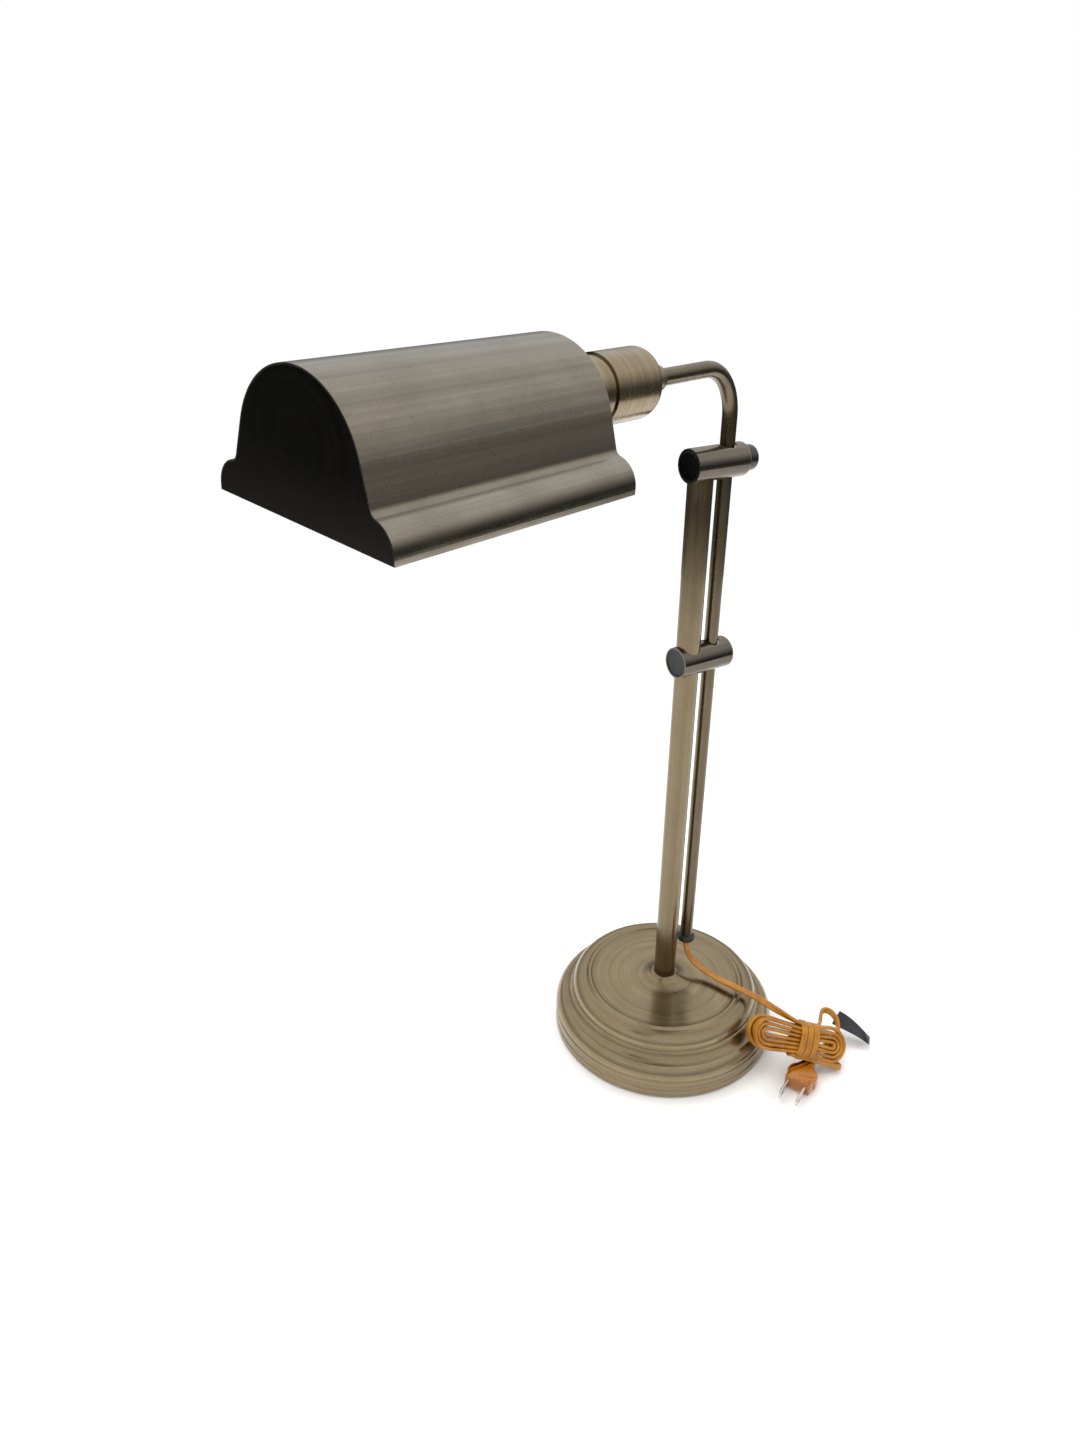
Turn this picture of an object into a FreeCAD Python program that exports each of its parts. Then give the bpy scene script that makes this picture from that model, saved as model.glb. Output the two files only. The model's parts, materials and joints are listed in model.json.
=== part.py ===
"""Banker desk lamp with a brass stand, a sliding and turning arm, and a trough shade.

Millimetres. +Z is up, and the origin is the centre of the felt under the base. +X runs
along the two cross tubes, from the fixed column towards the sliding rod.
"""
import FreeCAD
import Part
import math
import os

# ---- base ----
BASE_DIAMETER = 167.0
BASE_SIDE_HEIGHT = 17.0       # straight side, from the table up
BASE_SHOULDER_RISE = 9.0
BASE_SHOULDER_WIDTH = 5.0
BASE_HOLLOW_RISE = 6.0
BASE_HOLLOW_WIDTH = 8.0
BASE_STEP_RISE = 12.5         # rounded step up to the rim of the top disc
BASE_STEP_WIDTH = 13.0
BASE_RIM_WIDTH = 2.0          # each slope of the rim
BASE_RIM_DROP = 1.0
BASE_DISH_DEPTH = 1.5
FLARE_DIAMETER = 46.0         # foot of the bell flare round the column
FLARE_HEIGHT = 5.5
BASE_WALL = 1.2
BASE_LIFT = 1.0               # gap between the cover's lower edge and the table
FELT_THICKNESS = 2.0
FELT_INSET = 1.6
WEIGHT_INSET = 3.3            # inside the foot of the rounded step
WEIGHT_HEIGHT = 20.0
WEIGHT_BOSS_DIAMETER = 34.0
WASHER_DIAMETER = 24.0
WASHER_THICKNESS = 1.6
BOLT_DIAMETER = 8.0
BOLT_HEAD_WIDTH = 13.0
BOLT_HEAD_HEIGHT = 5.3
BOLT_GRIP_DEPTH = 16.0        # length of bolt inside the column's plug
BOLT_CLEARANCE = 0.3
HEAD_POCKET_DEPTH = 10.0
HEAD_POCKET_MARGIN = 1.0

# ---- column and cross tubes ----
COLUMN_DIAMETER = 16.0
COLUMN_WALL = 1.0
COLUMN_PLUG_LENGTH = 20.0
CROSS_DIAMETER = 21.0
CROSS_WALL = 1.2
CROSS_OVERHANG = 1.8          # past the column's outside
CROSS_LENGTH = 40.0
UPPER_CROSS_HEIGHT = 439.0
CROSS_DISTANCE = 128.8        # between the two cross tubes
CAP_THICKNESS = 1.5
ROD_HOLE_MARGIN = 1.2         # round the rod, in the cross tubes' walls
GUIDE_LENGTH = 13.0

# ---- sliding rod and arm ----
ROD_SPACING = 19.4            # column axis to rod axis
ROD_DIAMETER = 9.3
ROD_WALL = 1.0
ROD_FOOT_GAP = 29.3           # from the base's disc up to the rod's end
ARM_RISE = 56.5               # arm's axis above the upper cross tube
ARM_BEND_RADIUS = 30.0
BUSH_DIAMETER = 14.0
BUSH_HEIGHT = 6.0
BUSH_FLOOR = 2.0
BUSH_ROUNDING = 1.8
LEAD_DIAMETER = 4.6           # the flex inside the rod

# ---- clamp on the upper cross tube ----
KNOB_DIAMETER = 15.8
KNOB_LENGTH = 8.2
KNOB_ROUNDING = 1.0
CLAMP_SCREW_DIAMETER = 4.9
CLAMP_PAD_LENGTH = 1.5
CLAMP_TOUCH = 0.1             # pad to rod when the clamp is closed

# ---- lamp and its holder, which the cup is made round ----
BULB_CAP_DIAMETER = 26.0
BULB_CAP_LENGTH = 25.0
BULB_DIAMETER = 32.0
BULB_LENGTH = 92.0            # glass, past the cap
BULB_NECK_LENGTH = 8.0
BULB_ROUNDING = 0.94          # of the bulb's radius, at its round end
BULB_WALL = 0.8
THREAD_GAP = 0.4              # lamp cap to screw shell
SCREW_SHELL_WALL = 0.6
SCREW_SHELL_LENGTH = 30.0
CONTACT_DIAMETER = 8.0
CONTACT_HEIGHT = 3.0
SOCKET_WALL = 1.6
SOCKET_FLOOR = 3.2
SOCKET_GAP = 0.8              # holder to neck ring
NECK_WALL = 1.0
NECK_LAP = 4.0                # neck ring's length inside the cup
CUP_WALL = 1.0
CUP_CORNER = 5.5

# ---- head, outwards from the rod's axis along the arm ----
HEAD_SWIVEL = 15.4            # arm's heading from the cross tubes, about the rod
HEAD_ROLL = -5.0              # shade's turn about the arm
ARM_REACH = 92.5              # rod's axis to the cup's back
COLLAR_LENGTH = 18.7
COLLAR_DIAMETER = 15.2
COLLAR_ROUNDING = 2.5
CUP_LENGTH = 39.0
ARM_NUT_DIAMETER = 16.0
ARM_NUT_LENGTH = 4.0
WASHER_LIP = 1.0              # swivel washer's edge past the nut
ARM_TAIL = 3.0                # arm's end past its nut
SOCKET_SETBACK = 15.5         # cup's back to the holder's back
SHADE_GAP = 31.7              # cup's mouth to the shade
SKIRT_REACH = 8.8             # holder's skirt past the shade's first edge
SHADE_RING_WIDTH = 3.0
SHADE_RING_THICKNESS = 4.0
SWITCH_DROP = 40.0            # degrees under level, on the far side of the cup
SWITCH_PLACE = 23.5           # from the cup's back
SWITCH_STEM_DIAMETER = 4.0
SWITCH_STEM_DEPTH = 2.0       # of the stem inside the holder's wall
SWITCH_STEM_REACH = 3.0       # of the stem past the cup
SWITCH_KNOB_GAP = 1.0
SWITCH_KNOB_DIAMETER = 9.0
SWITCH_KNOB_LENGTH = 10.0

# ---- shade ----
SHADE_LENGTH = 146.4
SHADE_WALL = 0.8
SHADE_HEIGHT = 63.0
SHADE_HALF_WIDTH = 57.5
SHADE_FLARE = 17.1            # how far the foot stands out past the arch's radius
SHADE_LIP = 2.5               # straight height above the lower edge
SHADE_BEAD = 13.5             # radius of the convex foot
SHADE_HOLLOW = 4.2            # radius of the hollow over the foot
SHADE_DROP = 10.0             # arch's centre below the arm's axis
ARCH_SLOPE = 18.0             # degrees from level where the arch turns straight
PLATE_THICKNESS = 0.8

# ---- clearances ----
RUNNING = 0.06                # radial, round a shaft that turns or slides
SEAT = 0.05                   # radial, round a piece that is fixed
APART = 0.3                   # between faces that move past each other
THROUGH = 600.0               # longer than the lamp, for cuts that run right out

# ---- mains cord ----
CORD_WIDTH = 5.0
CORD_ROUTE = [
    (19.4, 0.0, 70.0),
    (19.4, -1.8, 61.5),
    (21.6, -6.2, 54.0),
    (25.0, -15.5, 49.2),
    (29.0, -30.5, 48.6),
    (33.4, -47.6, 49.4),
    (40.4, -60.4, 47.6),
    (46.5, -71.5, 44.8),
    (52.2, -82.0, 40.0),
]
HANK_LEFT = (27.2, -79.1, 40.2)
HANK_RIGHT = (79.3, -106.5, 19.4)
HANK_OVERRUN = 11.0
HANK_WIDTH = 28.0
HANK_THICKNESS = 13.0
HANK_END_RADIUS = 13.5
HANK_EDGE_RADIUS = 5.5
HANK_TILT = 54.0              # degrees, of the bundle's width from level
PLUG_REAR = (59.0, -104.0, 7.0)
LEAD_ROUTE = [
    (70.5, -100.5, 9.8),
    (64.5, -101.9, 7.3),
    PLUG_REAR,
]
PLUG_HEADING = 202.0          # degrees from +X, the way the blades point
PLUG_LENGTH = 26.0
PLUG_WIDTH = 22.0
PLUG_WAIST = 12.0             # length of the taper behind the grip
PLUG_THICKNESS = 13.0
PLUG_ROUNDING = 2.0
BLADE_SPACING = 12.7
BLADE_LENGTH = 15.9
BLADE_HEIGHT = 6.3
BLADE_THICKNESS = 1.5
TAG_LOOP_ROUTE = [
    (75.9, -94.4, 28.5),
    (82.0, -90.0, 24.5),
    (88.5, -83.5, 21.0),
    (97.0, -78.0, 20.5),
    (104.0, -82.0, 18.5),
    (102.5, -91.0, 15.0),
    (93.0, -98.0, 13.5),
    (86.5, -104.5, 14.8),
]
TAG_CORNER = (102.6, -86.0, 16.5)
TAG_LENGTH = 30.0
TAG_WIDTH = 12.0
TAG_THICKNESS = 1.2
TAG_HEADING = -59.0
TAG_DIP = 24.0

# ---- worked out from the sizes above ----
shoulder_height = BASE_SIDE_HEIGHT + BASE_SHOULDER_RISE
step_height = shoulder_height + BASE_HOLLOW_RISE
rim_height = step_height + BASE_STEP_RISE
disc_height = rim_height - BASE_DISH_DEPTH
flare_top = disc_height + FLARE_HEIGHT
boss_top = disc_height - BASE_WALL
shoulder_radius = BASE_DIAMETER / 2 - BASE_SHOULDER_WIDTH
step_radius = shoulder_radius - BASE_HOLLOW_WIDTH
rim_radius = step_radius - BASE_STEP_WIDTH
weight_top = FELT_THICKNESS + WEIGHT_HEIGHT
washer_top = FELT_THICKNESS + HEAD_POCKET_DEPTH
column_radius = COLUMN_DIAMETER / 2
rod_radius = ROD_DIAMETER / 2
rod_bottom = disc_height + ROD_FOOT_GAP
lower_cross_height = UPPER_CROSS_HEIGHT - CROSS_DISTANCE
arm_height = UPPER_CROSS_HEIGHT + ARM_RISE
cross_bore = CROSS_DIAMETER / 2 - CROSS_WALL
cross_left = -column_radius - CROSS_OVERHANG
cross_right = cross_left + CROSS_LENGTH
screw_start = ROD_SPACING + rod_radius + CLAMP_TOUCH + CLAMP_PAD_LENGTH + SEAT
nut_start = ARM_REACH + CUP_WALL + APART + WASHER_THICKNESS
arm_end = nut_start + ARM_NUT_LENGTH + ARM_TAIL
cup_end = ARM_REACH + CUP_LENGTH
shade_start = cup_end + SHADE_GAP
socket_back = ARM_REACH + SOCKET_SETBACK
socket_front = shade_start + SKIRT_REACH
shell_start = socket_front - SCREW_SHELL_LENGTH - SOCKET_WALL
contact_end = shell_start + CONTACT_HEIGHT
bulb_start = contact_end + SEAT
glass_start = bulb_start + BULB_CAP_LENGTH
shell_radius = BULB_CAP_DIAMETER / 2 + THREAD_GAP + SCREW_SHELL_WALL
socket_radius = shell_radius + SEAT + SOCKET_WALL
neck_radius = socket_radius + SOCKET_GAP + NECK_WALL
cup_radius = neck_radius + SEAT + CUP_WALL
arch_radius = SHADE_HALF_WIDTH - SHADE_FLARE
arch_centre = SHADE_HEIGHT - arch_radius
shade_foot = arch_centre + SHADE_DROP

X = FreeCAD.Vector(1, 0, 0)
Y = FreeCAD.Vector(0, 1, 0)
Z = FreeCAD.Vector(0, 0, 1)
ORIGIN = FreeCAD.Vector(0, 0, 0)


def vec(x, y, z):
    return FreeCAD.Vector(x, y, z)


def save(name, shape):
    """Write one sub-part, refusing a shape that is not closed and valid."""
    if not shape.isValid() or shape.Volume <= 0:
        raise ValueError(name + " is not a valid solid")
    shape.exportStep("parts/" + name + ".step")
    print(name, round(shape.Volume, 1), "mm3")


def rod_between(start, end, radius):
    axis = end - start
    return Part.makeCylinder(radius, axis.Length, start, axis)


def upright(radius, low, high, x=0.0):
    return rod_between(vec(x, 0, low), vec(x, 0, high), radius)


def along(radius, start, end, height=0.0):
    """A cylinder along +X, used for the cross tubes and, in head space, for the head."""
    return rod_between(vec(start, 0, height), vec(end, 0, height), radius)


def ring(outer, inner, start, end, height=0.0):
    return along(outer, start, end, height).cut(along(inner, start, end, height))


def edges_at(shape, coordinate, value):
    """Edges that lie wholly at one value of x, y or z."""
    found = []
    for edge in shape.Edges:
        box = edge.BoundBox
        low = getattr(box, coordinate + "Min")
        high = getattr(box, coordinate + "Max")
        if abs(low - value) < 1e-4 and abs(high - value) < 1e-4:
            found.append(edge)
    return found


def in_head(shape, roll=0.0):
    """Carry a piece from head space, where +X runs out along the arm, to its place."""
    placed = shape.copy()
    placed.rotate(ORIGIN, X, roll)
    placed.rotate(ORIGIN, Z, 180 + HEAD_SWIVEL)
    placed.translate(vec(ROD_SPACING, 0, arm_height))
    return placed


def arc_through(start, middle, end):
    return Part.Arc(start, middle, end).toShape()


def arc_leaving(start, heading, end):
    """Arc in the XZ plane that leaves its start along a heading and runs to its end."""
    chord = end - start
    turn = chord.getAngle(heading)
    across = Y.cross(chord).normalize()
    if across.dot(heading) < 0:
        across = -across
    sagitta = chord.Length / 2 * math.tan(turn / 2)
    return arc_through(start, (start + end) / 2 + across * sagitta, end)


def line(start, end):
    return Part.LineSegment(start, end).toShape()


# ---- base ----
def base_skin():
    """Outer line of the spun cover, from its lower edge in to the column."""
    side = BASE_DIAMETER / 2
    side_top = vec(side, 0, BASE_SIDE_HEIGHT)
    shoulder_top = vec(shoulder_radius, 0, shoulder_height)
    step_foot = vec(step_radius, 0, step_height)
    step_top = vec(rim_radius + BASE_RIM_WIDTH, 0, rim_height - BASE_RIM_DROP)
    rim_top = vec(rim_radius, 0, rim_height)
    dish = vec(rim_radius - BASE_RIM_WIDTH, 0, disc_height)
    flare_foot = vec(FLARE_DIAMETER / 2, 0, disc_height)
    flare_end = vec(column_radius + SEAT + BASE_WALL, 0, flare_top)
    inwards = -X
    edges = [
        line(vec(side, 0, BASE_LIFT), side_top),
        arc_leaving(side_top, Z, shoulder_top),
        arc_leaving(shoulder_top, inwards, step_foot),
        arc_leaving(step_foot, Z, step_top),
        line(step_top, rim_top),
        line(rim_top, dish),
        line(dish, flare_foot),
        arc_leaving(flare_foot, inwards, flare_end),
    ]
    return Part.Wire(edges)


def base_cover():
    """Spun brass cover: the skin thickened by offset inwards, then turned."""
    skin = base_skin()
    section = skin.makeOffset2D(BASE_WALL, 0, True, True, False)
    if section.BoundBox.XMax > BASE_DIAMETER / 2 + BASE_WALL / 2:
        section = skin.makeOffset2D(-BASE_WALL, 0, True, True, False)
    shell = section.revolve(ORIGIN, Z, 360)
    if shell.Volume < 0:
        shell.reverse()
    column_hole = upright(column_radius + SEAT, 0, THROUGH)
    return shell.cut(column_hole)


def base_weight():
    """Cast disc inside the cover, with a boss under the column and a pocket for the bolt."""
    body = upright(step_radius - BASE_WALL - WEIGHT_INSET, FELT_THICKNESS, weight_top)
    body = body.fuse(upright(WEIGHT_BOSS_DIAMETER / 2, FELT_THICKNESS, boss_top))
    pocket = upright(WASHER_DIAMETER / 2 + HEAD_POCKET_MARGIN, 0, washer_top)
    bolt_hole = upright(BOLT_DIAMETER / 2 + BOLT_CLEARANCE, 0, THROUGH)
    return body.cut(pocket).cut(bolt_hole).removeSplitter()


def felt_pad():
    radius = BASE_DIAMETER / 2 - BASE_WALL - FELT_INSET
    return upright(radius, 0, FELT_THICKNESS)


def base_washer():
    disc = upright(WASHER_DIAMETER / 2, washer_top - WASHER_THICKNESS, washer_top)
    return disc.cut(upright(BOLT_DIAMETER / 2 + SEAT, 0, THROUGH))


def base_bolt():
    """Hexagon-headed bolt that draws the column down on to the weight."""
    head_top = washer_top - WASHER_THICKNESS
    head_low = head_top - BOLT_HEAD_HEIGHT
    corner = BOLT_HEAD_WIDTH / math.sqrt(3)
    points = []
    for index in range(7):
        angle = math.radians(60 * index)
        points.append(vec(corner * math.cos(angle), corner * math.sin(angle), head_low))
    head = Part.Face(Part.makePolygon(points)).extrude(Z * BOLT_HEAD_HEIGHT)
    shank = upright(BOLT_DIAMETER / 2, head_low, boss_top + BOLT_GRIP_DEPTH)
    return head.fuse(shank).removeSplitter()


# ---- column and cross tubes ----
def column_tube():
    """Tube whose top is coped to the upper cross tube that is brazed across it."""
    tube = upright(column_radius, boss_top, UPPER_CROSS_HEIGHT)
    tube = tube.cut(upright(column_radius - COLUMN_WALL, 0, THROUGH))
    return tube.cut(along(CROSS_DIAMETER / 2 + SEAT, cross_left, cross_right, UPPER_CROSS_HEIGHT))


def column_plug():
    """Threaded slug in the column's lower end."""
    plug = upright(column_radius - COLUMN_WALL - SEAT, boss_top, boss_top + COLUMN_PLUG_LENGTH)
    return plug.cut(upright(BOLT_DIAMETER / 2 + SEAT, 0, THROUGH))


def cross_tube(height, column_passes):
    """Short level tube that ties the column to the rod."""
    low = height - CROSS_DIAMETER
    high = height + CROSS_DIAMETER
    tube = ring(CROSS_DIAMETER / 2, cross_bore, cross_left, cross_right, height)
    if column_passes:
        tube = tube.cut(upright(column_radius + SEAT, low, high))
    return tube.cut(upright(rod_radius + ROD_HOLE_MARGIN, low, high, ROD_SPACING))


def end_cap(height):
    return along(cross_bore - SEAT, cross_left, cross_left + CAP_THICKNESS, height)


def end_plug(height):
    """Round-edged plug with a flange over the tube's right end."""
    flange = along(CROSS_DIAMETER / 2, cross_right, cross_right + CAP_THICKNESS, height)
    flange = flange.makeFillet(CAP_THICKNESS * 0.6, edges_at(flange, "X", cross_right + CAP_THICKNESS))
    spigot = along(cross_bore - SEAT, ROD_SPACING + GUIDE_LENGTH / 2, cross_right, height)
    return flange.fuse(spigot).removeSplitter()


def guide_block(height):
    """Nylon slug in the cross tube, bored for the rod."""
    half = GUIDE_LENGTH / 2 - SEAT
    slug = along(cross_bore - SEAT, ROD_SPACING - half, ROD_SPACING + half, height)
    bore = upright(rod_radius + RUNNING, height - CROSS_DIAMETER, height + CROSS_DIAMETER, ROD_SPACING)
    return slug.cut(bore)


def clamp_bore(shape, margin):
    """Cut the clamp screw's way through a guide block or an end plug."""
    radius = CLAMP_SCREW_DIAMETER / 2 + margin
    return shape.cut(along(radius, ROD_SPACING, THROUGH, UPPER_CROSS_HEIGHT))


def clamp_pad():
    start = screw_start - SEAT - CLAMP_PAD_LENGTH
    return along(CLAMP_SCREW_DIAMETER / 2, start, start + CLAMP_PAD_LENGTH, UPPER_CROSS_HEIGHT)


def clamp_knob():
    """Knob and its screw, in one piece."""
    start = cross_right + CAP_THICKNESS + APART
    end = start + KNOB_LENGTH
    head = along(KNOB_DIAMETER / 2, start, end, UPPER_CROSS_HEIGHT)
    head = head.makeFillet(KNOB_ROUNDING, edges_at(head, "X", end))
    screw = along(CLAMP_SCREW_DIAMETER / 2, screw_start, start + 1, UPPER_CROSS_HEIGHT)
    return head.fuse(screw).removeSplitter()


# ---- rod and arm ----
def bent_rod(radius, bottom, reach):
    """Solid of one radius up the rod, round the bend and out along the arm, in head space."""
    low = bottom - arm_height
    bend = ARM_BEND_RADIUS
    rise = rod_between(vec(0, 0, low), vec(0, 0, -bend), radius)
    section = Part.Face(Part.Wire(Part.makeCircle(radius, vec(0, 0, -bend), Z)))
    elbow = section.revolve(vec(bend, 0, -bend), Y, 90)
    arm = rod_between(vec(bend, 0, 0), vec(reach, 0, 0), radius)
    return rise.multiFuse([elbow, arm]).removeSplitter()


def slide_rod():
    outer = bent_rod(rod_radius, rod_bottom, arm_end)
    inner = bent_rod(rod_radius - ROD_WALL, rod_bottom - ROD_WALL, arm_end + ROD_WALL)
    return in_head(outer.cut(inner))


def inner_lead():
    return in_head(bent_rod(LEAD_DIAMETER / 2, rod_bottom, arm_end))


def rod_end_bush():
    """Rubber bush that the rod's end turns in and the cord leaves by."""
    low = rod_bottom - APART - BUSH_FLOOR
    body = upright(BUSH_DIAMETER / 2, low, low + BUSH_HEIGHT, ROD_SPACING)
    body = body.makeFillet(BUSH_ROUNDING, body.Edges)
    socket = upright(rod_radius + RUNNING, low + BUSH_FLOOR, THROUGH, ROD_SPACING)
    outlet = upright(CORD_WIDTH / 2 + SEAT, 0, THROUGH, ROD_SPACING)
    return body.cut(socket).cut(outlet)


def arm_collar():
    end = ARM_REACH - APART
    start = end - COLLAR_LENGTH
    body = along(COLLAR_DIAMETER / 2, start, end)
    body = body.makeFillet(COLLAR_ROUNDING, edges_at(body, "X", start))
    return in_head(body.cut(along(rod_radius + SEAT, 0, THROUGH)))


def swivel_washer():
    radius = ARM_NUT_DIAMETER / 2 + WASHER_LIP
    return in_head(ring(radius, rod_radius + SEAT, nut_start - WASHER_THICKNESS, nut_start))


def arm_nut():
    end = nut_start + ARM_NUT_LENGTH
    return in_head(ring(ARM_NUT_DIAMETER / 2, rod_radius + SEAT, nut_start, end))


# ---- socket ----
def switch_axis():
    """Way that the switch points, from the cup's axis down and away from the front."""
    drop = math.radians(SWITCH_DROP)
    return vec(0, -math.cos(drop), -math.sin(drop))


def switch_rod(radius, start, end):
    base = vec(ARM_REACH + SWITCH_PLACE, 0, 0)
    return rod_between(base + switch_axis() * start, base + switch_axis() * end, radius)


def switch_hole():
    return switch_rod(SWITCH_STEM_DIAMETER / 2 + RUNNING, 0, THROUGH)


def socket_cup():
    """Drawn cup over the socket, open towards the shade, with a hole for the switch."""
    outer = along(cup_radius, ARM_REACH, cup_end)
    outer = outer.makeFillet(CUP_CORNER, edges_at(outer, "X", ARM_REACH))
    floor = ARM_REACH + CUP_WALL
    inner = along(cup_radius - CUP_WALL, floor, THROUGH)
    inner = inner.makeFillet(CUP_CORNER - CUP_WALL, edges_at(inner, "X", floor))
    cup = outer.cut(inner)
    cup = cup.cut(along(rod_radius + RUNNING, 0, THROUGH))
    return in_head(cup.cut(switch_hole()), HEAD_ROLL)


def neck_ring():
    """Spacer tube between the cup's mouth and the shade's end plate."""
    start = cup_end - NECK_LAP
    return in_head(ring(neck_radius, neck_radius - NECK_WALL, start, shade_start), HEAD_ROLL)


def socket_body():
    """Moulded lamp holder, its front skirt through the shade's end plate."""
    skirt = along(socket_radius, socket_back, socket_front)
    hollow = along(socket_radius - SOCKET_WALL, socket_back + SOCKET_FLOOR, THROUGH)
    return in_head(skirt.cut(hollow).cut(switch_hole()), HEAD_ROLL)


def screw_shell():
    end = shell_start + SCREW_SHELL_LENGTH
    return in_head(ring(shell_radius, shell_radius - SCREW_SHELL_WALL, shell_start, end), HEAD_ROLL)


def centre_contact():
    post = along(CONTACT_DIAMETER / 4, socket_back + SOCKET_FLOOR, contact_end)
    button = along(CONTACT_DIAMETER / 2, contact_end - CONTACT_HEIGHT / 3, contact_end)
    return in_head(post.fuse(button).removeSplitter(), HEAD_ROLL)


def bulb_cap():
    """Thin screw cap, closed at the contact's end."""
    radius = BULB_CAP_DIAMETER / 2
    cup = along(radius, bulb_start, glass_start)
    return in_head(cup.cut(along(radius - BULB_WALL, bulb_start + BULB_WALL, THROUGH)), HEAD_ROLL)


def bulb_outline(inset):
    """Solid of the tubular lamp with its round end, moved inwards by the inset."""
    start = vec(glass_start + inset, 0, 0)
    end = glass_start + BULB_LENGTH - inset
    radius = BULB_DIAMETER / 2 - inset
    neck = BULB_CAP_DIAMETER / 2 - BULB_WALL - inset
    body = along(radius, start.x + BULB_NECK_LENGTH, end)
    body = body.makeFillet(radius * BULB_ROUNDING, edges_at(body, "X", end))
    cone = Part.makeCone(neck, radius, BULB_NECK_LENGTH, start, X)
    return body.fuse(cone).removeSplitter()


def bulb_glass():
    return in_head(bulb_outline(0).cut(bulb_outline(BULB_WALL)), HEAD_ROLL)


def switch_stem():
    start = socket_radius - SWITCH_STEM_DEPTH
    end = cup_radius + SWITCH_STEM_REACH
    return in_head(switch_rod(SWITCH_STEM_DIAMETER / 2, start, end), HEAD_ROLL)


def switch_knob():
    start = cup_radius + SWITCH_KNOB_GAP
    knob = switch_rod(SWITCH_KNOB_DIAMETER / 2, start, start + SWITCH_KNOB_LENGTH)
    pocket = switch_rod(SWITCH_STEM_DIAMETER / 2 + SEAT, 0, cup_radius + SWITCH_STEM_REACH + SEAT)
    return in_head(knob.cut(pocket), HEAD_ROLL)


# ---- shade ----
def half_profile(inset):
    """Right half of the shade's section, in y and z, moved inwards by the inset.

    The arch runs down to a straight side, a hollow turns it outwards and a convex
    foot brings it down to the lip.
    """
    slope = math.radians(ARCH_SLOPE)
    arch = arch_radius - inset
    foot = SHADE_BEAD - inset
    hollow = SHADE_HOLLOW + inset
    lip = SHADE_HALF_WIDTH - inset
    normal = (math.cos(slope), math.sin(slope))
    bead_y = SHADE_HALF_WIDTH - SHADE_BEAD
    bead_z = SHADE_LIP
    offset = arch + arch_centre * normal[1] + hollow - bead_y * normal[0] - bead_z * normal[1]
    rise = math.sqrt((foot + hollow) ** 2 - offset ** 2)
    hollow_y = bead_y + offset * normal[0] - rise * normal[1]
    hollow_z = bead_z + offset * normal[1] + rise * normal[0]
    meet_angle = math.atan2(hollow_z - bead_z, hollow_y - bead_y)

    def on_arch(angle):
        return vec(0, arch * math.cos(angle), arch * math.sin(angle) - SHADE_DROP)

    def on_bead(angle):
        return vec(0, bead_y + foot * math.cos(angle), bead_z + foot * math.sin(angle) - shade_foot)

    def on_hollow(angle):
        y = hollow_y - hollow * math.cos(angle)
        return vec(0, y, hollow_z - hollow * math.sin(angle) - shade_foot)

    side_top = on_arch(slope)
    side_foot = on_hollow(slope)
    meet = on_bead(meet_angle)
    lip_top = on_bead(0)
    return [
        arc_through(on_arch(math.pi / 2), on_arch((math.pi / 2 + slope) / 2), side_top),
        line(side_top, side_foot),
        arc_through(side_foot, on_hollow((slope + meet_angle) / 2), meet),
        arc_through(meet, on_bead(meet_angle / 2), lip_top),
        line(lip_top, vec(0, lip, -shade_foot)),
    ]


def mirrored(edges):
    """The same edges on the other side, in reverse order, so that a wire can be closed."""
    turned = [edge.mirror(ORIGIN, Y) for edge in edges]
    turned.reverse()
    return turned


def full_profile(inset):
    right = half_profile(inset)
    return mirrored(right) + right


def filled_profile(inset):
    foot = vec(0, SHADE_HALF_WIDTH - inset, -shade_foot)
    closing = line(foot, vec(0, -foot.y, foot.z))
    edges = Part.__sortEdges__(full_profile(inset) + [closing])
    return Part.Face(Part.Wire(edges))


def shade_shell():
    """Bent sheet: the full section less the section a wall's thickness inside it."""
    outer = filled_profile(0).extrude(X * SHADE_LENGTH)
    inner = filled_profile(SHADE_WALL).extrude(X * SHADE_LENGTH)
    shell = outer.cut(inner)
    shell.translate(X * shade_start)
    return in_head(shell, HEAD_ROLL)


def end_plate(start, holder_hole):
    plate = filled_profile(SHADE_WALL + SEAT).extrude(X * PLATE_THICKNESS)
    plate.translate(X * start)
    if holder_hole:
        plate = plate.cut(along(socket_radius + SEAT, 0, THROUGH))
    return in_head(plate, HEAD_ROLL)


def shade_ring():
    """Threaded ring on the socket's skirt that holds the shade against the neck ring."""
    start = shade_start + PLATE_THICKNESS
    outer = socket_radius + SHADE_RING_WIDTH
    return in_head(ring(outer, socket_radius + SEAT, start, start + SHADE_RING_THICKNESS), HEAD_ROLL)


# ---- cord, its hank, plug and tag ----
def rounded_route(name, route):
    """Straight runs joined by tangent arcs, each as large as its two runs allow."""
    points = [vec(*point) for point in route]
    edges = []
    radii = []
    begin = points[0]
    for index in range(1, len(points) - 1):
        before = points[index - 1] - points[index]
        after = points[index + 1] - points[index]
        shorter = min(before.Length, after.Length)
        half_turn = (math.pi - before.getAngle(after)) / 2
        setback = 0.45 * shorter
        radius = setback / math.tan(half_turn)
        before.normalize()
        after.normalize()
        bisector = (before + after).normalize()
        start = points[index] + before * setback
        end = points[index] + after * setback
        middle = points[index] + bisector * (radius / math.cos(half_turn) - radius)
        edges.append(line(begin, start))
        edges.append(arc_through(start, middle, end))
        radii.append(round(radius, 1))
        begin = end
    edges.append(line(begin, points[-1]))
    wire = Part.Wire(edges)
    print(name, "length", round(wire.Length, 1), "radii", radii)
    return wire


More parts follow.
